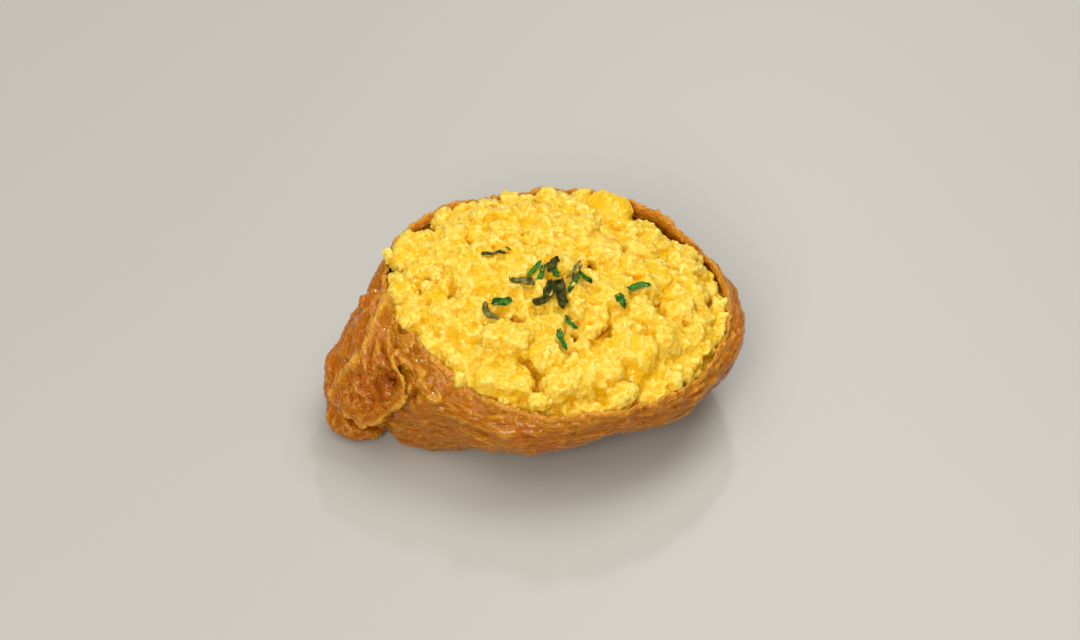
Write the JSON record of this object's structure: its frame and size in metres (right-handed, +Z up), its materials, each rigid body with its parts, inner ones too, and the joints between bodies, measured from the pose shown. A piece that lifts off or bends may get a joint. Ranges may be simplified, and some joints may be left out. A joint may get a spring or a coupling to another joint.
{
  "type": "inari sushi",
  "caption": "Simmered fried-tofu pouch with a folded corner, open at the top and heaped with soft scrambled egg",
  "frame": {"origin": "on the table, under the middle of the object's box", "axes": "+Z up, +X along the longest side from the folded corner to the round end, +Y to the back, where the lip stands highest"},
  "size_m": [0.081, 0.0651, 0.0289],
  "materials": {
    "simmered_tofu_skin": "thin fried tofu skin simmered in sweet soy, wrinkled and wet, glossy amber at the folds and drier tan at the cut lip",
    "soft_egg": "soft moist scrambled egg, pale crumbly curds and smoother yolk-yellow lumps",
    "dried_parsley": "thin dull dried leaf flakes, dark green to brown"
  },
  "bodies": {
    "root": {"tofu_pouch": "simmered_tofu_skin", "egg_filling": "soft_egg"}
  },
  "joints": []
}
